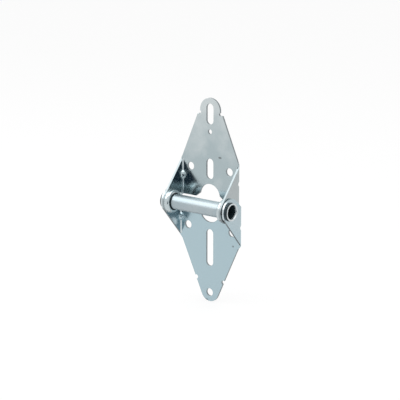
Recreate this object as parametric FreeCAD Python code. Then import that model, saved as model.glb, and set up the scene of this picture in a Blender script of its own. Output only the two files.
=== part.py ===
import FreeCAD, Part
import math
import os

# Garage door section hinge: two folded steel leaves that turn on one open roller tube.
# Millimetres. The origin is the middle of the tube, on the hinge axis.
# +X runs along the tube, +Y points to the door, +Z points up the door.

# Sheet and how it is folded
SHEET = 2.0
BEND_INSIDE = 1.2
AXIS_OUT = 19.2

# Width over the ears and the room between the two pairs of ears
UPPER_HALF_WIDTH = 33.9
EAR_GAP = 0.5

# Roller tube
TUBE_R = 7.25
TUBE_BORE_R = 6.0
TUBE_PAST_EAR = 2.6
SWAGE_R = 8.6
NECK_R = 7.8
NECK_PAST_EAR = 1.1
SWAGE_END_R = 8.3
MOUTH_R = 6.8
MOUTH_DEPTH = 2.1
LIP_EASE = 0.45
SEAT_GAP = 0.05
RUNNING_GAP = 0.08
FIXED_GAP = 0.10

# Collar drawn inwards out of each inner ear, its edge curled back to nearly twice the sheet
COLLAR_LENGTH = 4.4
COLLAR_WALL = 3.5
COLLAR_ROOT_EASE = 0.45
COLLAR_LIP_ROUND = 2.3
COLLAR_LIP_FLATS = 4
COLLAR_MOUTH_EASE = 0.9
COLLAR_ENTRY_EASE = 1.3

# Rounded ends of the ears
INNER_EAR_R = 11.4
OUTER_EAR_R = 11.6
OUTER_EAR_BACK = 1.6

# Upper leaf, heights above the hinge axis
UPPER_EDGE_Z = 3.9
UPPER_EAR_TOP_Z = 37.9
UPPER_TAPER_FOOT_Z = 41.2
UPPER_TAPER_FOOT_HALF = 32.1
SHOULDER_Z = 82.6
SHOULDER_HALF = 14.2
SHOULDER_ROUND = 1.0
LUG_R = 11.5
LUG_Z = 86.5
NECK_HALF = 10.3
NECK_NICK_R = 1.3
NECK_NICK_Z = 83.9

# Lower leaf, heights above the hinge axis
LOWER_EDGE_Z = 1.2
LOWER_EAR_FOOT_Z = -35.4
LOWER_TAPER_TOP_Z = -39.6
LOWER_TAPER_TOP_HALF = 32.6
END_R = 10.15
END_Z = -86.25
END_NICK_R = 2.0
END_NICK_Z = -75.1
END_NICK_HALF = 13.9

# Window behind the tube, half in each leaf
WINDOW_R = 11.6
WINDOW_TOP_Z = 17.4
WINDOW_FOOT_Z = -19.2
WINDOW_FLARE_HALF = 16.2
WINDOW_FLARE_RISE = 3.5

# Fastener holes and slots
SLOT_WIDTH = 8.0
UPPER_SLOT_LENGTH = 19.4
TOP_SLOT_Z = 83.05
MIDDLE_SLOT_Z = 31.7
LOWER_SLOT_LENGTH = 35.7
LOWER_SLOT_Z = -43.8
HOLE_R = 3.75
UPPER_HOLE_X = 22.4
UPPER_HOLE_Z = 31.7
LOWER_HOLE_X = 25.6
LOWER_HOLE_Z = -25.3
END_HOLE_Z = -87.6
PILOT_HOLE_R = 2.3
PILOT_HOLE_Z = 66.6

# Gusset dents pressed into the bends with a ball-nosed punch
DENT_R = 2.7
DENT_SET_IN = 1.1
BALL_FLATS = 6
UPPER_DENT_Z = 22.2
LOWER_DENT_Z = -18.6

# Sizes that follow from those above
BEND_OUTSIDE = BEND_INSIDE + SHEET
PLATE_FRONT_Y = AXIS_OUT - SHEET
LOWER_HALF_WIDTH = UPPER_HALF_WIDTH + EAR_GAP + SHEET
TUBE_HALF_LENGTH = LOWER_HALF_WIDTH + TUBE_PAST_EAR
COLLAR_BORE_R = TUBE_R + RUNNING_GAP
OUTER_EAR_HOLE_R = TUBE_R + FIXED_GAP
EAR_REACH = INNER_EAR_R + OUTER_EAR_R
LEAF_TOP_Z = LUG_Z + LUG_R
LEAF_FOOT_Z = END_Z - END_R
SPARE = SHEET

X_AXIS = FreeCAD.Vector(1, 0, 0)
Y_AXIS = FreeCAD.Vector(0, 1, 0)
Z_AXIS = FreeCAD.Vector(0, 0, 1)
ORIGIN = FreeCAD.Vector(0, 0, 0)


def in_front(x, z):
    """Point on the plane of the front outline."""
    return FreeCAD.Vector(x, -EAR_REACH, z)


def in_side(y, z):
    """Point on the plane of the side outline."""
    return FreeCAD.Vector(-LOWER_HALF_WIDTH - SPARE, y, z)


def loop(points):
    """Closed wire of straight edges through the points."""
    return Part.makePolygon(points + [points[0]])


def cut_along_y(wire):
    """Prism through the whole depth of the leaf, from an outline in the front plane."""
    depth = EAR_REACH + AXIS_OUT + SPARE
    return Part.Face(wire).extrude(Y_AXIS * depth)


def disc_along_y(x, z, radius):
    """Round bar through the whole depth of the leaf."""
    depth = EAR_REACH + AXIS_OUT + SPARE
    return Part.makeCylinder(radius, depth, in_front(x, z), Y_AXIS)


def block_along_y(half, low, high):
    """Square bar through the whole depth of the leaf, centred on the middle line."""
    corners = [in_front(-half, low), in_front(half, low), in_front(half, high), in_front(-half, high)]
    return cut_along_y(loop(corners))


def slot_along_y(z, length, width):
    """Upright slot with round ends through the plate."""
    radius = width / 2
    offset = length / 2 - radius
    ends = [disc_along_y(0, z - offset, radius), disc_along_y(0, z + offset, radius)]
    return block_along_y(radius, z - offset, z + offset).multiFuse(ends)


def channel(half_width, low, high):
    """Sheet folded to a channel: back plate, two round bends and two ears."""
    inside = half_width - SHEET
    turn = half_width - BEND_OUTSIDE
    bend_y = AXIS_OUT - BEND_OUTSIDE
    slant_out = BEND_OUTSIDE * math.sin(math.pi / 4)
    slant_in = BEND_INSIDE * math.sin(math.pi / 4)

    def at(x, y):
        return FreeCAD.Vector(x, y, low)

    def line(x1, y1, x2, y2):
        return Part.LineSegment(at(x1, y1), at(x2, y2)).toShape()

    def bend(side, radius, slant):
        start = at(side * (turn + radius), bend_y)
        middle = at(side * (turn + slant), bend_y + slant)
        end = at(side * turn, bend_y + radius)
        return Part.Arc(start, middle, end).toShape()

    edges = [
        line(-half_width, -EAR_REACH, -half_width, bend_y),
        bend(-1, BEND_OUTSIDE, slant_out),
        line(-turn, AXIS_OUT, turn, AXIS_OUT),
        bend(1, BEND_OUTSIDE, slant_out),
        line(half_width, bend_y, half_width, -EAR_REACH),
        line(half_width, -EAR_REACH, inside, -EAR_REACH),
        line(inside, -EAR_REACH, inside, bend_y),
        bend(1, BEND_INSIDE, slant_in),
        line(turn, PLATE_FRONT_Y, -turn, PLATE_FRONT_Y),
        bend(-1, BEND_INSIDE, slant_in),
        line(-inside, bend_y, -inside, -EAR_REACH),
        line(-inside, -EAR_REACH, -half_width, -EAR_REACH),
    ]
    section = Part.Wire(Part.__sortEdges__(edges))
    return Part.Face(section).extrude(Z_AXIS * (high - low))


def tangent_angle(point_y, point_z, centre_y, radius, side):
    """Angle of the point where a line from outside touches the ear's round end."""
    away = math.hypot(point_y - centre_y, point_z)
    towards = math.atan2(point_z, point_y - centre_y)
    return towards + side * math.acos(radius / away)


def ear_outline(centre_y, radius, top_z, foot_z):
    """Side outline of a leaf: the plate's strip and an ear that ends round the axis."""
    start = tangent_angle(PLATE_FRONT_Y, top_z, centre_y, radius, 1)
    end = tangent_angle(PLATE_FRONT_Y, foot_z, centre_y, radius, -1) + 2 * math.pi

    def rim(angle):
        return in_side(centre_y + radius * math.cos(angle), radius * math.sin(angle))

    round_end = Part.Arc(rim(start), rim((start + end) / 2), rim(end)).toShape()
    corners = [
        rim(end),
        in_side(PLATE_FRONT_Y, foot_z),
        in_side(AXIS_OUT + SPARE, foot_z),
        in_side(AXIS_OUT + SPARE, top_z),
        in_side(PLATE_FRONT_Y, top_z),
        rim(start),
    ]
    straight = Part.makePolygon(corners)
    outline = Part.Wire([round_end] + straight.Edges)
    width = 2 * (LOWER_HALF_WIDTH + SPARE)
    return Part.Face(outline).extrude(X_AXIS * width)


def plate_strip(low, high):
    """The flat plate's own layer, over the full height of a leaf."""
    width = 2 * (LOWER_HALF_WIDTH + SPARE)
    corner = in_side(PLATE_FRONT_Y, low)
    return Part.makeBox(width, SHEET + SPARE, high - low, corner)


def punch(half_width, side, height, radius):
    """Ball pressed into the outside of a bend from its corner, made of flats turned about its line."""
    middle = FreeCAD.Vector(half_width - DENT_SET_IN, AXIS_OUT - DENT_SET_IN, height)
    line = FreeCAD.Vector(1, 1, 0).normalize()

    def at(angle, away):
        return middle + line * (radius * math.cos(angle)) + Z_AXIS * (away * math.sin(angle))

    angles = [math.pi * (flat + 0.5) / BALL_FLATS for flat in range(BALL_FLATS)]
    points = [at(angles[0], 0)] + [at(angle, radius) for angle in angles] + [at(angles[-1], 0)]
    ball = Part.Face(loop(points)).revolve(middle, line, 360)
    return ball if side > 0 else ball.mirror(ORIGIN, X_AXIS)


def press_dents(leaf, half_width, height):
    """Gusset dents: hollow on the outside of each bend, a bulge of sheet thickness inside."""
    low = height - 2 * (DENT_R + SHEET)
    high = height + 2 * (DENT_R + SHEET)
    corner = FreeCAD.Vector(-half_width, -EAR_REACH, low)
    inside_box = Part.makeBox(2 * half_width, EAR_REACH + AXIS_OUT, high - low, corner)
    for side in (-1, 1):
        bulge = punch(half_width, side, height, DENT_R + SHEET)
        leaf = leaf.fuse(bulge.common(inside_box))
        leaf = leaf.cut(outside_of_bend(half_width, side, low, high))
        leaf = leaf.cut(punch(half_width, side, height, DENT_R))
    return leaf


def outside_of_bend(half_width, side, low, high):
    """What lies between the round bend and the square corner around it."""
    turn = half_width - BEND_OUTSIDE
    bend_y = AXIS_OUT - BEND_OUTSIDE
    corner = FreeCAD.Vector(min(side * turn, side * half_width), bend_y, low)
    square = Part.makeBox(BEND_OUTSIDE, BEND_OUTSIDE, high - low, corner)
    centre = FreeCAD.Vector(side * turn, bend_y, low)
    return square.cut(Part.makeCylinder(BEND_OUTSIDE, high - low, centre, Z_AXIS))


def turned(profile):
    """Solid of revolution about the hinge axis."""
    return Part.Face(profile).revolve(ORIGIN, X_AXIS, 360)


def on_round(centre_x, centre_r, radius, degrees):
    """Point on a corner round of a turned profile."""
    angle = math.radians(degrees)
    return FreeCAD.Vector(centre_x + radius * math.cos(angle), centre_r + radius * math.sin(angle), 0)


def eased(centre_x, centre_r, radius, from_deg, to_deg, flats=2):
    """Corner of a turned profile, rounded by narrow flats."""
    step = (to_deg - from_deg) / flats
    points = [on_round(centre_x, centre_r, radius, from_deg + step * count) for count in range(flats + 1)]
    return Part.makePolygon(points).Edges


def straight(x1, r1, x2, r2):
    """Straight edge of a turned profile."""
    return [Part.LineSegment(FreeCAD.Vector(x1, r1, 0), FreeCAD.Vector(x2, r2, 0)).toShape()]


def collar(side):
    """Collar drawn inwards out of the ear, with an eased root and a full round lip."""
    face_x = UPPER_HALF_WIDTH - SHEET
    middle_x = UPPER_HALF_WIDTH - SHEET / 2
    mouth_x = face_x - COLLAR_LENGTH
    outer_r = COLLAR_BORE_R + COLLAR_WALL
    root_x = face_x - COLLAR_ROOT_EASE
    root_r = outer_r + COLLAR_ROOT_EASE
    lip_x = mouth_x + COLLAR_LIP_ROUND
    lip_r = outer_r - COLLAR_LIP_ROUND
    ease_x = mouth_x + COLLAR_MOUTH_EASE
    ease_r = COLLAR_BORE_R + COLLAR_MOUTH_EASE
    edges = straight(middle_x, COLLAR_BORE_R, middle_x, root_r)
    edges += straight(middle_x, root_r, face_x, root_r)
    edges += eased(root_x, root_r, COLLAR_ROOT_EASE, 0, -90)
    edges += straight(root_x, outer_r, lip_x, outer_r)
    edges += eased(lip_x, lip_r, COLLAR_LIP_ROUND, 90, 180, COLLAR_LIP_FLATS)
    edges += straight(mouth_x, lip_r, mouth_x, ease_r)
    edges += eased(ease_x, ease_r, COLLAR_MOUTH_EASE, 180, 270)
    edges += straight(ease_x, COLLAR_BORE_R, middle_x, COLLAR_BORE_R)
    ring = turned(Part.Wire(edges))
    return ring if side > 0 else ring.mirror(ORIGIN, X_AXIS)


def collar_bore(side):
    """Bore through the ear and its collar, eased where the sheet was drawn in."""
    face_x = UPPER_HALF_WIDTH
    beyond_x = face_x + SPARE
    mouth_x = face_x - SHEET - COLLAR_LENGTH - SPARE
    ease_x = face_x - COLLAR_ENTRY_EASE
    ease_r = COLLAR_BORE_R + COLLAR_ENTRY_EASE
    edges = straight(mouth_x, 0, beyond_x, 0)
    edges += straight(beyond_x, 0, beyond_x, ease_r)
    edges += straight(beyond_x, ease_r, face_x, ease_r)
    edges += eased(ease_x, ease_r, COLLAR_ENTRY_EASE, 0, -90)
    edges += straight(ease_x, COLLAR_BORE_R, mouth_x, COLLAR_BORE_R)
    edges += straight(mouth_x, COLLAR_BORE_R, mouth_x, 0)
    tool = turned(Part.Wire(edges))
    return tool if side > 0 else tool.mirror(ORIGIN, X_AXIS)


def window():
    """Round-ended window behind the tube, with a flared mouth at the edge of each leaf."""
    top = WINDOW_TOP_Z - WINDOW_R
    foot = WINDOW_FOOT_Z + WINDOW_R
    shape = block_along_y(WINDOW_R, foot, top)
    shape = shape.multiFuse([disc_along_y(0, top, WINDOW_R), disc_along_y(0, foot, WINDOW_R)])
    for edge, rise in ((UPPER_EDGE_Z, WINDOW_FLARE_RISE), (LOWER_EDGE_Z, -WINDOW_FLARE_RISE)):
        flare = [
            in_front(-WINDOW_FLARE_HALF, edge),
            in_front(WINDOW_FLARE_HALF, edge),
            in_front(WINDOW_R, edge + rise),
            in_front(-WINDOW_R, edge + rise),
        ]
        shape = shape.fuse(cut_along_y(loop(flare)))
    return shape


def round_shoulders(outline):
    """Round off the two shoulder corners beside the neck."""
    def is_shoulder(edge):
        middle = edge.CenterOfMass
        on_corner = abs(abs(middle.x) - SHOULDER_HALF) < SHEET / 10
        return on_corner and abs(middle.z - SHOULDER_Z) < SHEET / 10

    corners = [edge for edge in outline.Edges if is_shoulder(edge)]
    return outline.makeFillet(SHOULDER_ROUND, corners)


def upper_outline():
    """Front outline of the upper leaf: tapered plate, shoulders, nicked neck and round lug."""
    corners = [
        in_front(-UPPER_HALF_WIDTH, UPPER_EDGE_Z),
        in_front(UPPER_HALF_WIDTH, UPPER_EDGE_Z),
        in_front(UPPER_HALF_WIDTH, UPPER_EAR_TOP_Z),
        in_front(UPPER_TAPER_FOOT_HALF, UPPER_TAPER_FOOT_Z),
        in_front(SHOULDER_HALF, SHOULDER_Z),
        in_front(-SHOULDER_HALF, SHOULDER_Z),
        in_front(-UPPER_TAPER_FOOT_HALF, UPPER_TAPER_FOOT_Z),
        in_front(-UPPER_HALF_WIDTH, UPPER_EAR_TOP_Z),
    ]
    outline = round_shoulders(cut_along_y(loop(corners)))
    neck = block_along_y(LUG_R, SHOULDER_Z - SPARE, LUG_Z)
    outline = outline.multiFuse([neck, disc_along_y(0, LUG_Z, LUG_R)])
    nick_x = NECK_HALF + NECK_NICK_R
    for side in (-1, 1):
        outline = outline.cut(disc_along_y(side * nick_x, NECK_NICK_Z, NECK_NICK_R))
    return outline


def lower_outline():
    """Front outline of the lower leaf: long taper that runs into a round end, with two nicks."""
    slope = math.atan2(LOWER_TAPER_TOP_HALF, LOWER_TAPER_TOP_Z - END_Z)
    away = math.hypot(LOWER_TAPER_TOP_HALF, LOWER_TAPER_TOP_Z - END_Z)
    touch = slope + math.acos(END_R / away)
    touch_x = END_R * math.sin(touch)
    touch_z = END_Z + END_R * math.cos(touch)
    corners = [
        in_front(-LOWER_HALF_WIDTH, LOWER_EDGE_Z),
        in_front(LOWER_HALF_WIDTH, LOWER_EDGE_Z),
        in_front(LOWER_HALF_WIDTH, LOWER_EAR_FOOT_Z),
        in_front(LOWER_TAPER_TOP_HALF, LOWER_TAPER_TOP_Z),
        in_front(touch_x, touch_z),
        in_front(-touch_x, touch_z),
        in_front(-LOWER_TAPER_TOP_HALF, LOWER_TAPER_TOP_Z),
        in_front(-LOWER_HALF_WIDTH, LOWER_EAR_FOOT_Z),
    ]
    outline = cut_along_y(loop(corners)).fuse(disc_along_y(0, END_Z, END_R))
    nick_x = END_NICK_HALF + END_NICK_R
    for side in (-1, 1):
        outline = outline.cut(disc_along_y(side * nick_x, END_NICK_Z, END_NICK_R))
    return outline


def upper_leaf():
    """Upper leaf: folded sheet with the inner ears and their collars."""
    leaf = channel(UPPER_HALF_WIDTH, -INNER_EAR_R - SPARE, LEAF_TOP_Z + SPARE)
    strip = plate_strip(UPPER_EDGE_Z, LEAF_TOP_Z)
    ears = ear_outline(0, INNER_EAR_R, UPPER_EAR_TOP_Z, UPPER_EDGE_Z)
    plate = leaf.common(upper_outline()).common(strip)
    leaf = leaf.common(ears).fuse(plate)
    leaf = press_dents(leaf, UPPER_HALF_WIDTH, UPPER_DENT_Z)
    for side in (-1, 1):
        leaf = leaf.fuse(collar(side)).cut(collar_bore(side))
    holes = [
        slot_along_y(TOP_SLOT_Z, UPPER_SLOT_LENGTH, SLOT_WIDTH),
        slot_along_y(MIDDLE_SLOT_Z, UPPER_SLOT_LENGTH, SLOT_WIDTH),
        disc_along_y(UPPER_HOLE_X, UPPER_HOLE_Z, HOLE_R),
        disc_along_y(-UPPER_HOLE_X, UPPER_HOLE_Z, HOLE_R),
        disc_along_y(0, PILOT_HOLE_Z, PILOT_HOLE_R),
        window(),
    ]
    for hole in holes:
        leaf = leaf.cut(hole)
    return leaf.removeSplitter()


def lower_leaf():
    """Lower leaf: folded sheet with the outer ears that hold the swaged tube."""
    leaf = channel(LOWER_HALF_WIDTH, LEAF_FOOT_Z - SPARE, OUTER_EAR_R + SPARE)
    strip = plate_strip(LEAF_FOOT_Z, LOWER_EDGE_Z)
    ears = ear_outline(OUTER_EAR_BACK, OUTER_EAR_R, LOWER_EDGE_Z, LOWER_EAR_FOOT_Z)
    plate = leaf.common(lower_outline()).common(strip)
    leaf = leaf.common(ears).fuse(plate)
    leaf = press_dents(leaf, LOWER_HALF_WIDTH, LOWER_DENT_Z)
    length = 2 * (LOWER_HALF_WIDTH + SPARE)
    leaf = leaf.cut(Part.makeCylinder(OUTER_EAR_HOLE_R, length, -X_AXIS * (length / 2), X_AXIS))
    holes = [
        slot_along_y(LOWER_SLOT_Z, LOWER_SLOT_LENGTH, SLOT_WIDTH),
        disc_along_y(LOWER_HOLE_X, LOWER_HOLE_Z, HOLE_R),
        disc_along_y(-LOWER_HOLE_X, LOWER_HOLE_Z, HOLE_R),
        disc_along_y(0, END_HOLE_Z, HOLE_R),
        window(),
    ]
    for hole in holes:
        leaf = leaf.cut(hole)
    return leaf.removeSplitter()


def roller_tube():
    """Open tube that is the hinge pin: each end has a swaged bead, a neck and a flared rim."""
    seat_x = LOWER_HALF_WIDTH + SEAT_GAP
    neck_x = LOWER_HALF_WIDTH + NECK_PAST_EAR
    end_x = TUBE_HALF_LENGTH
    lip_x = end_x - LIP_EASE
    mouth_x = end_x - MOUTH_DEPTH
    lip_out_r = SWAGE_END_R - LIP_EASE
    lip_in_r = MOUTH_R + LIP_EASE
    edges = straight(0, TUBE_BORE_R, 0, TUBE_R)
    edges += straight(0, TUBE_R, seat_x, TUBE_R)
    edges += straight(seat_x, TUBE_R, seat_x, SWAGE_R)
    edges += straight(seat_x, SWAGE_R, neck_x, NECK_R)
    edges += straight(neck_x, NECK_R, lip_x, SWAGE_END_R)
    edges += eased(lip_x, lip_out_r, LIP_EASE, 90, 0)
    edges += straight(end_x, lip_out_r, end_x, lip_in_r)
    edges += eased(lip_x, lip_in_r, LIP_EASE, 0, -90)
    edges += straight(lip_x, MOUTH_R, mouth_x, TUBE_BORE_R)
    edges += straight(mouth_x, TUBE_BORE_R, 0, TUBE_BORE_R)
    half = turned(Part.Wire(edges))
    return half.fuse(half.mirror(ORIGIN, X_AXIS)).removeSplitter()


def main():
    os.makedirs("parts", exist_ok=True)
    nodes = {"upper_leaf": upper_leaf(), "lower_leaf": lower_leaf(), "roller_tube": roller_tube()}
    for name, shape in nodes.items():
        box = shape.optimalBoundingBox()
        print(name, "solids", len(shape.Solids), "valid", shape.isValid(), "volume", round(shape.Volume, 1))
        print("  x", round(box.XMin, 2), round(box.XMax, 2), "y", round(box.YMin, 2), round(box.YMax, 2),
              "z", round(box.ZMin, 2), round(box.ZMax, 2))
        shape.exportStep("parts/" + name + ".step")


main()
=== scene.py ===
# %% [markdown]
# A garage door section hinge, dressed for a studio picture.
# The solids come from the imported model, in metres, and stay where they are.
# This script adds the camera, the light, the floor and the finish of every surface.
# Each cell says what a step stands for on the real hinge and why it is made that way.

# %% Load the fixed frame
import math

import bmesh
import bpy
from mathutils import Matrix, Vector


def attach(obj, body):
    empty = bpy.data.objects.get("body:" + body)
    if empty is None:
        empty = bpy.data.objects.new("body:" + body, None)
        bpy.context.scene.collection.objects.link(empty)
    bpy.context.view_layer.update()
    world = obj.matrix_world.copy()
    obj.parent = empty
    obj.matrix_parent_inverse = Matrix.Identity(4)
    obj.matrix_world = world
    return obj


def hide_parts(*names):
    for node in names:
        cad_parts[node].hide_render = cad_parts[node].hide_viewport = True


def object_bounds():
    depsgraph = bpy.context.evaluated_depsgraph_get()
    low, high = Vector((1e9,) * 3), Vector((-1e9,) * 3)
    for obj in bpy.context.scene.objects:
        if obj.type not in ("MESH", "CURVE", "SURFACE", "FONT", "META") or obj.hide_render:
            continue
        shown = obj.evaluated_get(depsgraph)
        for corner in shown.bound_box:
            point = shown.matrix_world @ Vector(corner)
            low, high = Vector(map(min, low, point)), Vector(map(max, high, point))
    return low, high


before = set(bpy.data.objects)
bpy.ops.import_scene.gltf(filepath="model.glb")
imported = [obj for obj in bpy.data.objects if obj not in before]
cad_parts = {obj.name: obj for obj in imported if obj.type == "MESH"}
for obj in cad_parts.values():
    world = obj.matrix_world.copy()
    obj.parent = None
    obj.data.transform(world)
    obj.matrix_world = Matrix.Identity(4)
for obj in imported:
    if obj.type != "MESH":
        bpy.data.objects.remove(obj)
CAD_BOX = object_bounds()
print("nodes", sorted(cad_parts))

# %% [markdown]
# The picture was taken from the right of the hinge and a little above it, with a long lens.
# The camera's place was worked out from the holes and outlines that show in the photograph.
# A long lens far away keeps the hinge's two sides almost parallel, so the numbers stay simple:
# a point that the camera looks at, two angles, a distance and a focal length.

# %% Camera
MM = 0.001
LOOK_AT = Vector((-5.25, 9.2, 2.97)) * MM
YAW = math.radians(37.99)
PITCH = math.radians(14.15)
DISTANCE = 1203.7 * MM
LENS_MM = 117.0
SENSOR_MM = 36.0
NEAREST = 50 * MM


def towards_camera(yaw, pitch):
    """Unit vector from the object to a camera at that yaw from the front and that height angle."""
    flat = math.cos(pitch)
    return Vector((math.sin(yaw) * flat, -math.cos(yaw) * flat, math.sin(pitch)))


def aim(thing, place, target):
    """Puts a camera, lamp or sheet at a place and turns it to face a target."""
    thing.location = place
    thing.rotation_euler = (target - place).to_track_quat("-Z", "Y").to_euler()


camera = bpy.data.objects.new("camera", bpy.data.cameras.new("camera"))
camera.data.lens = LENS_MM
camera.data.sensor_width = SENSOR_MM
camera.data.clip_start = NEAREST
bpy.context.scene.collection.objects.link(camera)
aim(camera, LOOK_AT + towards_camera(YAW, PITCH) * DISTANCE, LOOK_AT)
bpy.context.scene.camera = camera
print("camera at", [round(c, 4) for c in camera.location])

# %% [markdown]
# Zinc plate is a thin bright metal skin on rolled steel. It is a metal, so its colour is in its
# reflection: a cool grey with a little blue. It isn't a mirror, because the rolled sheet below
# has a fine grain and the plating bath leaves soft clouds. Both change the roughness a little.
# The finish is built from noise on the object's own coordinates, so it moves with the leaf.


# %% Helpers for the finishes
def new_finish(name):
    """Empty material with a shader, an output and object coordinates."""
    finish = bpy.data.materials.new(name)
    finish.use_nodes = True
    nodes = finish.node_tree.nodes
    nodes.clear()
    output = nodes.new("ShaderNodeOutputMaterial")
    shader = nodes.new("ShaderNodeBsdfPrincipled")
    where = nodes.new("ShaderNodeTexCoord")
    finish.node_tree.links.new(shader.outputs["BSDF"], output.inputs["Surface"])
    return finish, shader, where.outputs["Object"]


def noise(finish, where, scale, detail, stretch=(1.0, 1.0, 1.0)):
    """Noise over the object, with a scale in waves per metre along each axis."""
    nodes, links = finish.node_tree.nodes, finish.node_tree.links
    mapping = nodes.new("ShaderNodeMapping")
    mapping.inputs["Scale"].default_value = stretch
    links.new(where, mapping.inputs["Vector"])
    pattern = nodes.new("ShaderNodeTexNoise")
    pattern.inputs["Scale"].default_value = scale
    pattern.inputs["Detail"].default_value = detail
    links.new(mapping.outputs["Vector"], pattern.inputs["Vector"])
    return pattern.outputs["Fac"]


def oval(finish, where, centre, halves):
    """One in the middle of an oval with those half sizes, falling to nothing at its edge."""
    nodes, links = finish.node_tree.nodes, finish.node_tree.links
    mapping = nodes.new("ShaderNodeMapping")
    mapping.vector_type = "TEXTURE"
    mapping.inputs["Location"].default_value = centre
    mapping.inputs["Scale"].default_value = halves
    links.new(where, mapping.inputs["Vector"])
    fade = nodes.new("ShaderNodeTexGradient")
    fade.gradient_type = "SPHERICAL"
    links.new(mapping.outputs["Vector"], fade.inputs["Vector"])
    return fade.outputs["Fac"]


def rising(finish, where, fac, slope):
    """Number that also grows with the height on the leaf, by the slope per metre."""
    nodes, links = finish.node_tree.nodes, finish.node_tree.links
    split = nodes.new("ShaderNodeSeparateXYZ")
    links.new(where, split.inputs["Vector"])
    total = nodes.new("ShaderNodeMath")
    total.operation = "MULTIPLY_ADD"
    total.inputs[1].default_value = slope
    links.new(split.outputs["Z"], total.inputs[0])
    links.new(fac, total.inputs[2])
    return total.outputs["Value"]


def ramp(finish, fac, low, high, start=0.35, end=0.65):
    """Colour ramp from one colour to the other, by default over the middle of a noise."""
    node = finish.node_tree.nodes.new("ShaderNodeValToRGB")
    node.color_ramp.elements[0].position = start
    node.color_ramp.elements[1].position = end
    node.color_ramp.elements[0].color = (*low, 1.0)
    node.color_ramp.elements[1].color = (*high, 1.0)
    finish.node_tree.links.new(fac, node.inputs["Fac"])
    return node.outputs["Color"]


def spread(finish, fac, low, high, start=0.3, end=0.7):
    """Number that follows another one between two limits."""
    node = finish.node_tree.nodes.new("ShaderNodeMapRange")
    node.inputs["From Min"].default_value = start
    node.inputs["From Max"].default_value = end
    node.inputs["To Min"].default_value = low
    node.inputs["To Max"].default_value = high
    finish.node_tree.links.new(fac, node.inputs["Value"])
    return node.outputs["Result"]


def blend_colours(finish, fac, first, second):
    """First colour where the number is nothing, second where it is one."""
    node = finish.node_tree.nodes.new("ShaderNodeMix")
    node.data_type = "RGBA"
    finish.node_tree.links.new(fac, node.inputs[0])
    for socket, colour in ((node.inputs[6], first), (node.inputs[7], second)):
        if isinstance(colour, tuple):
            socket.default_value = (*colour, 1.0)
        else:
            finish.node_tree.links.new(colour, socket)
    return node.outputs[2]


def blend_numbers(finish, fac, first, second):
    """First number where the factor is nothing, second where it is one."""
    node = finish.node_tree.nodes.new("ShaderNodeMix")
    finish.node_tree.links.new(fac, node.inputs[0])
    for socket, number in ((node.inputs[2], first), (node.inputs[3], second)):
        if isinstance(number, float):
            socket.default_value = number
        else:
            finish.node_tree.links.new(number, socket)
    return node.outputs[0]


def relief(finish, height, distance, strength, below=None):
    """Fine relief from a height, laid over another relief where one is given."""
    node = finish.node_tree.nodes.new("ShaderNodeBump")
    node.inputs["Strength"].default_value = strength
    node.inputs["Distance"].default_value = distance
    finish.node_tree.links.new(height, node.inputs["Height"])
    if below is not None:
        finish.node_tree.links.new(below, node.inputs["Normal"])
    return node.outputs["Normal"]


# %% [markdown]
# The leaves are stamped from sheet and zinc plated. Four things show on them: soft clouds of a
# slightly warmer and a cooler grey, which painted light makes paler up the leaf, a faint upright
# grain from the rolling mill, a very slight waviness that bends the reflections, and a few small
# dark marks. Where the press sheared the sheet, its edge is a duller grey with fine tears, and the
# same grey is painted shade on the ear rims that look down. A pale colour is a painted highlight on
# the bends, the collars and the lower ears' rims, and a dark colour is painted shade in the bores
# and at the collars' roots. These three could be painted by position, but each belongs to whole
# faces, so the mesh keeps three numbers on its faces that say how much of each a face has.

# %% Zinc plate on rolled sheet
SHEARED_AND_SHADE = "sheared_and_shade"
PAINTED_HIGHLIGHT = "painted_highlight"
PAINTED_SHADE = "painted_shade"
# The sheared grey is also painted shade on the ear rims that look down.
SHEARED_AND_SHADE_GREY = (0.20, 0.225, 0.235)
SHEARED_AND_SHADE_PALE = (0.28, 0.31, 0.325)
SHEARED_ROUGHNESS = 0.42
# Pale colour of a painted highlight.
PAINTED_HIGHLIGHT_PALE = (0.60, 0.66, 0.68)
# Dark colour of painted shade.
PAINTED_SHADE_DARK = (0.003, 0.016, 0.021)
PAINTED_SHADE_ROUGHNESS = 0.6
PLATE_FRONT_Y = 17.2 * MM
MARK_GREY = (0.12, 0.13, 0.13)
MARK_DEPTH = 1.5 * MM


def kept_number(finish, name):
    """Number that the mesh keeps on its faces under a name."""
    node = finish.node_tree.nodes.new("ShaderNodeAttribute")
    node.attribute_name = name
    return node.outputs["Fac"]


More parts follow.
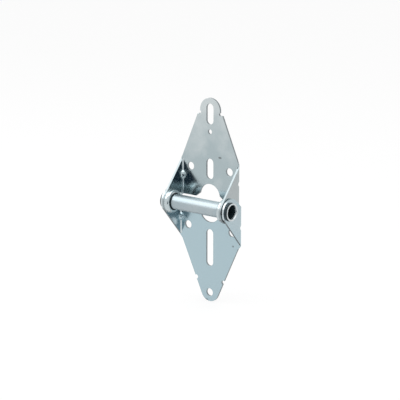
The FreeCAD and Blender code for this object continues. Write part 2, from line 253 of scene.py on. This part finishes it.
def zinc_sheet(name, cool, warm, roughness, slope, marks):
    """Cold rolled sheet with bright zinc, duller where it was sheared, with painted highlights and
    painted shade.
    """
    finish, shader, where = new_finish(name)
    links = finish.node_tree.links
    clouds = noise(finish, where, scale=38.0, detail=5.0)
    grain = noise(finish, where, scale=900.0, detail=2.0, stretch=(1.0, 1.0, 0.06))
    tears = noise(finish, where, scale=1500.0, detail=2.0, stretch=(1.0, 0.1, 1.0))
    waves = noise(finish, where, scale=55.0, detail=1.0)
    edge, painted_shade = kept_number(finish, SHEARED_AND_SHADE), kept_number(finish, PAINTED_SHADE)
    # Painted light: the clouds are made paler up the leaf, by the slope per metre.
    painted_light_upwards = rising(finish, where, clouds, slope)
    skin = ramp(finish, painted_light_upwards, cool, warm, start=0.62, end=1.0)
    for centre, halves in marks:
        spot = oval(finish, where, centre, halves)
        amount = spread(finish, spot, low=0.0, high=0.75, start=0.1, end=0.5)
        skin = blend_colours(finish, amount, skin, MARK_GREY)
    # Sheared grey, which is also painted shade on the ear rims that look down.
    skin = blend_colours(finish, edge, skin, ramp(finish, tears, SHEARED_AND_SHADE_GREY, SHEARED_AND_SHADE_PALE))
    # Painted highlight: the marked faces turn pale.
    skin = blend_colours(finish, kept_number(finish, PAINTED_HIGHLIGHT), skin, PAINTED_HIGHLIGHT_PALE)
    # Painted shade: the marked faces turn dark and matt.
    links.new(blend_colours(finish, painted_shade, skin, PAINTED_SHADE_DARK), shader.inputs["Base Color"])
    dull = blend_numbers(finish, edge, spread(finish, clouds, *roughness), SHEARED_ROUGHNESS)
    links.new(blend_numbers(finish, painted_shade, dull, PAINTED_SHADE_ROUGHNESS), shader.inputs["Roughness"])
    links.new(blend_numbers(finish, painted_shade, 1.0, 0.0), shader.inputs["Metallic"])
    wavy = relief(finish, waves, distance=0.16 * MM, strength=1.0)
    fine = relief(finish, grain, distance=0.012 * MM, strength=0.35, below=wavy)
    links.new(fine, shader.inputs["Normal"])
    return finish


# Each mark: its centre, then its half sizes. It ends inside the sheet, so the back stays clean.
UPPER_MARKS = [((11.7 * MM, PLATE_FRONT_Y, 43.7 * MM), (2.6 * MM, MARK_DEPTH, 1.3 * MM))]
LOWER_MARKS = [((27.2 * MM, PLATE_FRONT_Y, -37.9 * MM), (1.2 * MM, MARK_DEPTH, 1.3 * MM))]
UPPER_FINISH = zinc_sheet("upper_leaf_zinc", cool=(0.395, 0.467, 0.487), warm=(0.585, 0.635, 0.645),
                          roughness=(0.15, 0.20), slope=4.5, marks=UPPER_MARKS)
LOWER_FINISH = zinc_sheet("lower_leaf_zinc", cool=(0.41, 0.53, 0.578), warm=(0.455, 0.553, 0.595),
                          roughness=(0.20, 0.26), slope=0.5, marks=LOWER_MARKS)
print("sheet finishes", UPPER_FINISH.name, LOWER_FINISH.name)

# %% [markdown]
# The tube is drawn, not rolled. Its zinc is smoother, and the die left fine lines along it.
# The inside is painted dark as shade, and so are the neck outside the ear and a band in front of
# the left collar. The rim and the mouth get a painted highlight. The solids get the finishes too,
# although the finished pieces will stand for them.

# %% Zinc plate on drawn tube
TUBE_COOL = (0.375, 0.445, 0.475)
TUBE_WARM = (0.415, 0.475, 0.50)
TUBE_ROUGHNESS = (0.34, 0.39)


def zinc_tube(name):
    """Drawn tube with bright zinc, with fine lines along it."""
    finish, shader, where = new_finish(name)
    links = finish.node_tree.links
    clouds = noise(finish, where, scale=70.0, detail=3.0)
    lines = noise(finish, where, scale=1100.0, detail=2.0, stretch=(0.05, 1.0, 1.0))
    # Painted shade in the bore, the neck and a band by the left collar; painted highlight on the
    # rim and mouth.
    painted_shade = kept_number(finish, PAINTED_SHADE)
    skin = blend_colours(finish, kept_number(finish, PAINTED_HIGHLIGHT),
                         ramp(finish, clouds, TUBE_COOL, TUBE_WARM), PAINTED_HIGHLIGHT_PALE)
    links.new(blend_colours(finish, painted_shade, skin, PAINTED_SHADE_DARK), shader.inputs["Base Color"])
    smooth = spread(finish, clouds, *TUBE_ROUGHNESS)
    links.new(blend_numbers(finish, painted_shade, smooth, PAINTED_SHADE_ROUGHNESS), shader.inputs["Roughness"])
    links.new(blend_numbers(finish, painted_shade, 1.0, 0.0), shader.inputs["Metallic"])
    fine = relief(finish, lines, distance=0.012 * MM, strength=0.3)
    links.new(fine, shader.inputs["Normal"])
    return finish


TUBE_FINISH = zinc_tube("tube_zinc")
FINISHES = {"upper_leaf": UPPER_FINISH, "lower_leaf": LOWER_FINISH, "roller_tube": TUBE_FINISH}
for node, finish in FINISHES.items():
    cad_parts[node].material_slots[0].material = finish
print("tube finish", TUBE_FINISH.name)

# %% [markdown]
# A stamped leaf has no knife edges. The punch leaves a small rolled corner where it enters the
# sheet, and the plating rounds it further, which gives every edge its thin bright or dark line.
# The leaf could be modelled again from nothing, but its solid already has the right shape. So a
# copy of its mesh is merged, its flat faces are joined, its faces are marked, and the corners
# along the cut faces are bevelled. The copy then stands for the solid.
# The marks come from where a face lies and where it looks. The plate's cut faces are sheared.
# An ear's rim gets the sheared grey as painted shade where it looks down, and elsewhere as far as
# the leaf's rim value says: sheared grey on the upper leaf, a painted highlight on the lower one.
# The insides of the bends and the collars get a painted highlight, and painted shade lies at the
# collars' roots and in every bore about the hinge axis.

# %% Marks on the faces of a leaf
SHEET = 2.0 * MM
BEND_INSIDE = 1.2 * MM
HAIR = 0.05 * MM
CUT_NORMAL = 0.3
# Each rim value: the sheared grey share, then the painted highlight share, of an ear's rim.
UPPER_RIM = (0.5, 0.0)
LOWER_RIM = (0.0, 0.9)
# An ear's rim that looks down gets the full sheared grey as painted shade.
RIM_DOWN = -0.5
# Painted highlight shares of the bends' insides and of the collars.
BEND_HIGHLIGHT = 0.9
COLLAR_HIGHLIGHT = 0.55
ROOT_R = (10.95 * MM, 11.4 * MM)
# Painted shade at the collars' roots.
ROOT_SHADE = 0.45
RECESS_R = 8.45 * MM
INWARD = -0.1


def faces_axis(face):
    """True for a face of a bore about the hinge axis, which looks at the axis."""
    centre, normal = face.calc_center_median(), face.normal
    away = math.hypot(centre.y, centre.z)
    return away < RECESS_R and centre.y * normal.y + centre.z * normal.z < INWARD * away


def leaf_marks(face, ear_inside, rim):
    """How much sheared grey, painted highlight and painted shade a face of a leaf gets."""
    centre, normal = face.calc_center_median(), face.normal
    aside, away = abs(centre.x), math.hypot(centre.y, centre.z)
    in_ear = aside > ear_inside - HAIR
    if faces_axis(face):
        return 0.0, 0.0, 1.0
    if centre.y > PLATE_FRONT_Y - HAIR and aside < ear_inside - BEND_INSIDE:
        return (1.0 if abs(normal.y) < CUT_NORMAL else 0.0), 0.0, 0.0
    # On an ear's rim: the full sheared grey as painted shade where it looks down, else the rim
    # value.
    if in_ear and centre.y < PLATE_FRONT_Y - BEND_INSIDE and abs(normal.x) < CUT_NORMAL:
        return (1.0, 0.0, 0.0) if normal.z < RIM_DOWN else (*rim, 0.0)
    bend_in_y = PLATE_FRONT_Y - BEND_INSIDE < centre.y < PLATE_FRONT_Y
    if bend_in_y and ear_inside - BEND_INSIDE < aside < ear_inside:
        return 0.0, BEND_HIGHLIGHT, 0.0
    if in_ear or away > ROOT_R[1]:
        return 0.0, 0.0, 0.0
    return (0.0, 0.0, ROOT_SHADE) if away > ROOT_R[0] else (0.0, COLLAR_HIGHLIGHT, 0.0)


# %% [markdown]
# On the real leaf the rounding follows every cut edge. A Bevel modifier could ease the whole
# mesh, but it would cut into the bends and the dents as well. So the bevel operator gets only
# the edges between faces with different marks that meet at a clear angle. The collar's root
# comes within a hair of the inner ear's rim, so that rim keeps its corner there.
# A bevel, and a spin that closes on itself, leave their faces in an order that changes from run
# to run, and the shading of a long thin face depends on that order. So the edges and faces are
# sorted by their vertices, and each run shows the same picture.

# %% Corners of a leaf
EDGE_ROUND = 0.22 * MM
CLEAR_ANGLE = math.radians(50)
FLAT_ANGLE = math.radians(1)
MERGE_WITHIN = 0.03 * MM
COLLAR_RIM_R = 11.8 * MM


def in_fixed_order(bm):
    """Sorts the edges and the faces of a mesh by the vertices that they join."""
    bm.verts.index_update()
    for elements in (bm.edges, bm.faces):
        by_verts = sorted(elements, key=lambda element: sorted(v.index for v in element.verts))
        for index, element in enumerate(by_verts):
            element.index = index
        elements.sort()


def is_corner(edge, marks, ear_inside):
    """True where a cut face meets the rolled skin at a clear angle."""
    if len(edge.link_faces) != 2 or edge.calc_length() < 2 * EDGE_ROUND:
        return False
    first, second = edge.link_faces
    middle = (edge.verts[0].co + edge.verts[1].co) / 2
    by_collar = math.hypot(middle.y, middle.z) < COLLAR_RIM_R and abs(middle.x) < ear_inside + HAIR
    differ = any(first[mark] != second[mark] for mark in marks)
    return differ and not by_collar and edge.calc_face_angle() > CLEAR_ANGLE


def dressed_leaf(node, half_width, rim):
    """Copy of a leaf's mesh with joined flats, marked faces and eased corners."""
    ear_inside = half_width - SHEET
    bm = bmesh.new()
    bm.from_mesh(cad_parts[node].data)
    bmesh.ops.remove_doubles(bm, verts=bm.verts, dist=MERGE_WITHIN)
    bmesh.ops.dissolve_limit(bm, angle_limit=FLAT_ANGLE, verts=bm.verts, edges=bm.edges)
    layers = [bm.faces.layers.float.new(name) for name in (SHEARED_AND_SHADE, PAINTED_HIGHLIGHT, PAINTED_SHADE)]
    for face in bm.faces:
        for layer, value in zip(layers, leaf_marks(face, ear_inside, rim)):
            face[layer] = value
    sheared_and_shade, painted_highlight = layers[:2]
    corners = [edge for edge in bm.edges if is_corner(edge, (sheared_and_shade, painted_highlight), ear_inside)]
    bmesh.ops.bevel(bm, geom=corners, offset=EDGE_ROUND, offset_type="OFFSET", segments=2,
                    profile=0.5, affect="EDGES", material=-1, clamp_overlap=False)
    in_fixed_order(bm)
    bmesh.ops.triangulate(bm, faces=[face for face in bm.faces if len(face.verts) > 4])
    in_fixed_order(bm)
    mesh = bpy.data.meshes.new(node + "_dressed")
    bm.to_mesh(mesh)
    bm.free()
    return mesh, len(corners)


# %% [markdown]
# The two dents in each leaf were pushed in by a ball-nosed punch, so the metal flows softly from
# the bend over the bulge. Denser faces could show that, but soft shading does it with the faces
# that are there: the edges at the height of the dents and away from the middle line are shaded
# as soft ones, and every other clear corner as a sharp one.

# %% Show a finished piece
DENT_REACH = 6.5 * MM
DENT_FROM_X = 10.7 * MM
SHARP_ANGLE = math.radians(38)


def soften_dents(mesh, dent_z):
    """Takes the sharp mark off the edges around a leaf's dents."""
    for edge in mesh.edges:
        middle = (mesh.vertices[edge.vertices[0]].co + mesh.vertices[edge.vertices[1]].co) / 2
        at_dents = abs(middle.z - dent_z) < DENT_REACH and abs(middle.x) > DENT_FROM_X
        if at_dents and middle.y > PLATE_FRONT_Y - DENT_REACH:
            edge.use_edge_sharp = False


def show_piece(mesh, node, body, finish, dent_z=None):
    """Object for a finished mesh that rides on its body and stands for its solid."""
    mesh.polygons.foreach_set("use_smooth", [True] * len(mesh.polygons))
    mesh.set_sharp_from_angle(angle=SHARP_ANGLE)
    if dent_z is not None:
        soften_dents(mesh, dent_z)
    mesh.materials.clear()
    mesh.materials.append(finish)
    piece = bpy.data.objects.new(mesh.name, mesh)
    bpy.context.scene.collection.objects.link(piece)
    weighted = piece.modifiers.new("flat faces stay flat", "WEIGHTED_NORMAL")
    weighted.keep_sharp = True
    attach(piece, body)
    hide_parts(node)


# %% [markdown]
# Both leaves are dressed in the same way. The lower leaf's ears stand outside the upper leaf's,
# a sheet and a running gap further out, and its dents lie below the axis. Each dressed leaf rides
# on its own body, so that it folds with the hinge.

# %% Dressed leaves
UPPER_HALF_WIDTH = 33.9 * MM
LOWER_HALF_WIDTH = 36.4 * MM
UPPER_DENT_Z = 22.2 * MM
LOWER_DENT_Z = -18.6 * MM

for node, half_width, rim, dent_z, slot in (
    ("upper_leaf", UPPER_HALF_WIDTH, UPPER_RIM, UPPER_DENT_Z, "zinc_sheet_upper"),
    ("lower_leaf", LOWER_HALF_WIDTH, LOWER_RIM, LOWER_DENT_Z, "zinc_sheet_lower"),
):
    mesh, count = dressed_leaf(node, half_width, rim)
    show_piece(mesh, node, node + "_body", FINISHES[node], dent_z)
    print(node, "corners eased", count, "faces", len(mesh.polygons))

# %% [markdown]
# The tube is round all over, so it is spun: half of its wall's outline is written as points along
# the axis and away from it, the other half is its mirror image, and the closed outline is turned
# once about the hinge axis. Outside the ear the wall swells to a bead that holds the ear, narrows
# to a neck and flares to a rolled rim. The mouth opens inside that rim.

# %% Spun roller tube
TUBE_R = 7.25 * MM
BORE_R = 6.0 * MM
SEAT_X = 36.45 * MM
BEAD_R = 8.6 * MM
BEAD_ROUND = 0.1 * MM
NECK_X, NECK_R = 37.5 * MM, 7.8 * MM
NECK_HOLLOW = ((-0.15, 0.11), (0.0, 0.03), (0.2, 0.1))
END_X, RIM_R = 39.0 * MM, 8.3 * MM
MOUTH_X, MOUTH_R = 36.9 * MM, 6.8 * MM
LIP = 0.45 * MM
# From here outwards the tube's rim gets a painted highlight, and so does its mouth.
RIM_FROM_X = END_X - LIP / 2
COLLAR_MOUTH_X = 27.5 * MM
# Painted shade: a band of this length in front of the left collar, and its share there and in the
# neck.
SHADE_LINE = 1.2 * MM
TUBE_SHADE = 0.98
TURNS = 96


def arc(centre_x, centre_r, radius, degrees):
    """Points of a small round in the outline at the given angles."""
    angles = [math.radians(a) for a in degrees]
    return [(centre_x + radius * math.cos(a), centre_r + radius * math.sin(a)) for a in angles]


def tube_outline():
    """Right half of the outline, from the middle of the outside to the middle of the bore."""
    points = [(x, TUBE_R) for x in (0.0, COLLAR_MOUTH_X - SHADE_LINE, COLLAR_MOUTH_X, SEAT_X)]
    points += arc(SEAT_X + BEAD_ROUND, BEAD_R - BEAD_ROUND, BEAD_ROUND, (180, 135, 90))
    points += [(NECK_X + x * MM, NECK_R + r * MM) for x, r in NECK_HOLLOW]
    points += arc(END_X - LIP, RIM_R - LIP, LIP, (90, 60, 30, 0))
    points += arc(END_X - LIP, MOUTH_R + LIP, LIP, (0, -30, -60, -90))
    return points + [(MOUTH_X, BORE_R), (0.0, BORE_R)]


def tube_marks(face):
    """How much painted shade and how much painted highlight a face of the tube gets."""
    x = face.calc_center_median().x
    if faces_axis(face):
        return (1.0, 0.0) if abs(x) < MOUTH_X - HAIR else (0.0, 1.0)
    by_left_collar = -COLLAR_MOUTH_X < x < SHADE_LINE - COLLAR_MOUTH_X
    if by_left_collar or SEAT_X + 2 * HAIR < abs(x) < RIM_FROM_X:
        return TUBE_SHADE, 0.0
    return 0.0, (0.0 if abs(x) < RIM_FROM_X else 1.0)


def spun_tube():
    """Closed outline turned once about the hinge axis, with faces marked for painted shade and
    highlight.
    """
    right = tube_outline()
    outline = right + [(-x, r) for x, r in reversed(right) if x > 0]
    bm = bmesh.new()
    verts = [bm.verts.new((x, r, 0.0)) for x, r in outline]
    edges = [bm.edges.new(pair) for pair in zip(verts, verts[1:] + verts[:1])]
    bmesh.ops.spin(bm, geom=verts + edges, axis=(1, 0, 0), cent=(0, 0, 0), angle=math.tau,
                   steps=TURNS, use_merge=True)
    in_fixed_order(bm)
    bmesh.ops.recalc_face_normals(bm, faces=bm.faces)
    painted_shade = bm.faces.layers.float.new(PAINTED_SHADE)
    painted_highlight = bm.faces.layers.float.new(PAINTED_HIGHLIGHT)
    for face in bm.faces:
        face[painted_shade], face[painted_highlight] = tube_marks(face)
    mesh = bpy.data.meshes.new("roller_tube_spun")
    bm.to_mesh(mesh)
    bm.free()
    return mesh


mesh = spun_tube()
show_piece(mesh, "roller_tube", "lower_leaf_body", TUBE_FINISH)
print("tube faces", len(mesh.polygons))

# %% [markdown]
# The studio is a pale floor that meets a white background. The lowest point of the hinge is the
# round end of the lower leaf, so the floor lies just under it and takes a soft shadow. A white
# floor could be lit until it clips, but that would light the hinge too, so a share of it is plain
# white where it is seen. The white of the floor and the background also shows in the metal.

# %% Floor
FLOOR_GAP = 0.3 * MM
FLOOR_HALF = 6.0
FLOOR_ROUGHNESS = 0.6
PALE = (0.90, 0.90, 0.90)
WHITE_SHARE = 0.85


def plain_material(name, colour, roughness):
    """One plain colour, for what stands around the object."""
    material = bpy.data.materials.new(name)
    material.use_nodes = True
    shader = material.node_tree.nodes["Principled BSDF"]
    shader.inputs["Base Color"].default_value = (*colour, 1.0)
    shader.inputs["Roughness"].default_value = roughness
    return material


def seen_ray(tree):
    """One where a camera ray, a reflection or a ray through glass arrives, elsewhere nothing."""
    path = tree.nodes.new("ShaderNodeLightPath")
    fac = path.outputs["Is Camera Ray"]
    for other in ("Is Glossy Ray", "Is Transmission Ray"):
        either = tree.nodes.new("ShaderNodeMath")
        either.operation = "MAXIMUM"
        tree.links.new(fac, either.inputs[0])
        tree.links.new(path.outputs[other], either.inputs[1])
        fac = either.outputs["Value"]
    return fac


def white_where_seen(name, colour, roughness, share):
    """Pale matt floor that is partly plain white where it is seen, so its shadow stays soft."""
    material = plain_material(name, colour, roughness)
    tree = material.node_tree
    white = tree.nodes.new("ShaderNodeEmission")
    mix = tree.nodes.new("ShaderNodeMixShader")
    part = tree.nodes.new("ShaderNodeMath")
    part.operation = "MULTIPLY"
    part.inputs[1].default_value = share
    tree.links.new(seen_ray(tree), part.inputs[0])
    tree.links.new(part.outputs["Value"], mix.inputs["Fac"])
    tree.links.new(tree.nodes["Principled BSDF"].outputs["BSDF"], mix.inputs[1])
    tree.links.new(white.outputs["Emission"], mix.inputs[2])
    tree.links.new(mix.outputs["Shader"], tree.nodes["Material Output"].inputs["Surface"])
    return material


def flat_sheet(name, half_x, half_y):
    """Flat sheet made with a grid operator, to be turned and placed in the studio."""
    mesh = bpy.data.meshes.new(name)
    bm = bmesh.new()
    bmesh.ops.create_grid(bm, x_segments=1, y_segments=1, size=1.0)
    bmesh.ops.scale(bm, vec=(half_x, half_y, 1.0), verts=bm.verts)
    bm.to_mesh(mesh)
    bm.free()
    thing = bpy.data.objects.new(name, mesh)
    bpy.context.scene.collection.objects.link(thing)
    return thing


floor = flat_sheet("floor", FLOOR_HALF, FLOOR_HALF)
floor.location.z = CAD_BOX[0].z - FLOOR_GAP
floor.data.materials.append(white_where_seen("pale_floor", PALE, FLOOR_ROUGHNESS, WHITE_SHARE))
print("floor at", round(floor.location.z, 5))

# %% [markdown]
# A metal part shows what stands around it. Three things stand there, seen in reflections only:
# a dark blue glowing sheet by the camera, painted shade for the unlit side of the studio, which the
# left ear and its image in the plate show; a card with a warm tint on the floor behind, on the
# right, which the outer faces of the right ears show; and a dark strip on the floor, painted shade
# of the floor under the hinge, which the rims of the lower ears show, because they slope down.
# The dark sheet fades to the white of the background, so that its image in the metal ends softly. A
# see-through rim could do that too, but one glow that turns from blue to white is simpler.

# %% Painted dark sheet, painted floor shade and warm card
WHITE = (1.0, 1.0, 1.0)
UNLIT_SIDE_BLUE = (0.002, 0.030, 0.062)
UNLIT_SIDE_HALF = (0.110, 0.105)
UNLIT_SIDE_PLACE = Vector((0.151, -0.200, -0.066))
UNLIT_SIDE_FADE = 0.30
CARD_ROUGHNESS = 0.9
CARD_LIFT = 1.0 * MM
FLOOR_CARDS = (  # name, colour, half sizes, place on the floor and height above it
    ("warm_card", (0.90, 0.83, 0.81), (0.22, 0.22), (0.36, 0.44, CARD_LIFT)),
    # Painted shade of the floor under the hinge, seen in reflections only.
    ("painted_floor_shade", (0.06, 0.08, 0.09), (0.083, 0.0062), (-0.087, 0.0200, CARD_LIFT / 4)),
)


def reflected_sheet(name, material, halves):
    """Flat sheet that only reflections see."""
    sheet = flat_sheet(name, *halves)
    sheet.data.materials.append(material)
    sheet.visible_camera = False
    sheet.visible_diffuse = False
    sheet.visible_shadow = False
    return sheet


def fading_to_white(name, colour, halves, fade):
    """Glowing colour in the middle of a sheet that fades to a white glow towards its oval rim."""
    material = bpy.data.materials.new(name)
    material.use_nodes = True
    nodes, links = material.node_tree.nodes, material.node_tree.links
    nodes.remove(nodes["Principled BSDF"])
    where = nodes.new("ShaderNodeTexCoord")
    middle = oval(material, where.outputs["Object"], (0.0, 0.0, 0.0), (*halves, 1.0))
    glow = nodes.new("ShaderNodeEmission")
    links.new(ramp(material, middle, WHITE, colour, start=0.0, end=fade), glow.inputs["Color"])
    links.new(glow.outputs["Emission"], nodes["Material Output"].inputs["Surface"])
    return material


# Painted shade: a sheet glowing dark blue for the unlit side of the studio, seen in reflections
# only.
unlit_side_glow = fading_to_white("painted_unlit_side", UNLIT_SIDE_BLUE, UNLIT_SIDE_HALF, UNLIT_SIDE_FADE)
aim(reflected_sheet("painted_unlit_side", unlit_side_glow, UNLIT_SIDE_HALF), UNLIT_SIDE_PLACE, LOOK_AT)
for name, colour, halves, (x, y, lift) in FLOOR_CARDS:
    card = reflected_sheet(name, plain_material(name, colour, CARD_ROUGHNESS), halves)
    card.location = (x, y, floor.location.z + lift)
print("seen in reflections only:", "painted_unlit_side", *[row[0] for row in FLOOR_CARDS])

# %% [markdown]
# The light is soft and plain: a large lamp high on the left, one above the camera, and the
# white background. The tube shows the first as the bright band along its top, and the sloping
# rims of the upper ears show it too. The tube's mouth shows the second. Flat faces show the
# background, so that a colour renders about as it is written. Small lamps could be made brighter,
# but they would burn small white spots into the metal.


# %% Lamps
def soft_lamp(name, direction, distance, size, brightness):
    """Large square lamp that faces the hinge, with the brightness that its surface shows."""
    lamp = bpy.data.objects.new(name, bpy.data.lights.new(name, "AREA"))
    lamp.data.shape = "SQUARE"
    lamp.data.size = size
    lamp.data.energy = brightness * math.pi * size * size
    bpy.context.scene.collection.objects.link(lamp)
    aim(lamp, LOOK_AT + Vector(direction).normalized() * distance, LOOK_AT)
    print(name, "watts", round(lamp.data.energy, 2))


soft_lamp("lamp_left", (-0.60, -0.40, 0.69), distance=1.25, size=1.05, brightness=1.5)
soft_lamp("lamp_above", (0.13, -0.17, 0.94), distance=1.3, size=1.2, brightness=1.7)

# %% [markdown]
# Around the studio there is nothing but white. A brighter world would make it white as well, but
# it would put more light on the hinge. So the world has a strength of one only for what sees it,
# the camera and the reflections, and a little less as a light.

# %% White background
SEEN_LEVEL = 1.0
LIGHT_LEVEL = 0.8

world = bpy.data.worlds.new("white_studio")
bpy.context.scene.world = world
world.use_nodes = True
links, nodes = world.node_tree.links, world.node_tree.nodes
level = nodes.new("ShaderNodeMapRange")
level.inputs["To Min"].default_value = LIGHT_LEVEL
level.inputs["To Max"].default_value = SEEN_LEVEL
links.new(seen_ray(world.node_tree), level.inputs["Value"])
links.new(level.outputs["Result"], nodes["Background"].inputs["Strength"])
nodes["Background"].inputs["Color"].default_value = (*WHITE, 1.0)
bpy.context.scene.view_settings.view_transform = "Standard"
print("background", world.name, "seen", SEEN_LEVEL, "as light", LIGHT_LEVEL)
